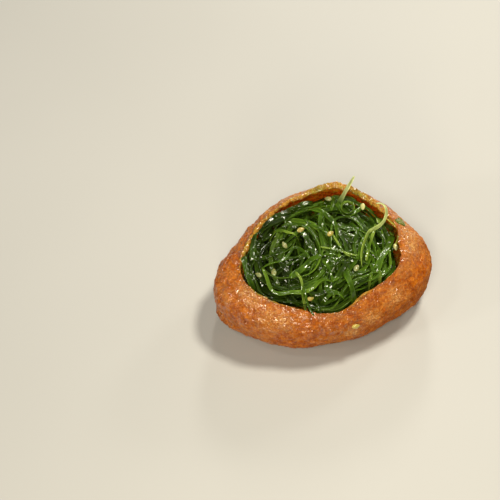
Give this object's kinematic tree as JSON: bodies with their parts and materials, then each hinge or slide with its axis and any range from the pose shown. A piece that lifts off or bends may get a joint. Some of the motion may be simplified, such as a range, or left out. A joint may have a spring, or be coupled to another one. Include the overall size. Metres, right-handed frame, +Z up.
{
  "type": "inari sushi",
  "caption": "Inari sushi: a seasoned fried tofu pocket, open at the top and filled with glossy green seaweed salad and sesame.",
  "frame": {"origin": "middle of the base, at the bottom centre of the bounding box", "axes": "+Z up, +X to the right in the picture, +Y away from the viewer, so that the low front of the opening is on -Y"},
  "size_m": [0.082, 0.0614, 0.0422],
  "materials": {
    "tofu_skin": "moist, fine wrinkles, soft gloss",
    "seaweed": "wet gloss"
  },
  "bodies": {
    "root": {"pocket": "tofu_skin", "seaweed_salad": "seaweed"}
  },
  "joints": []
}
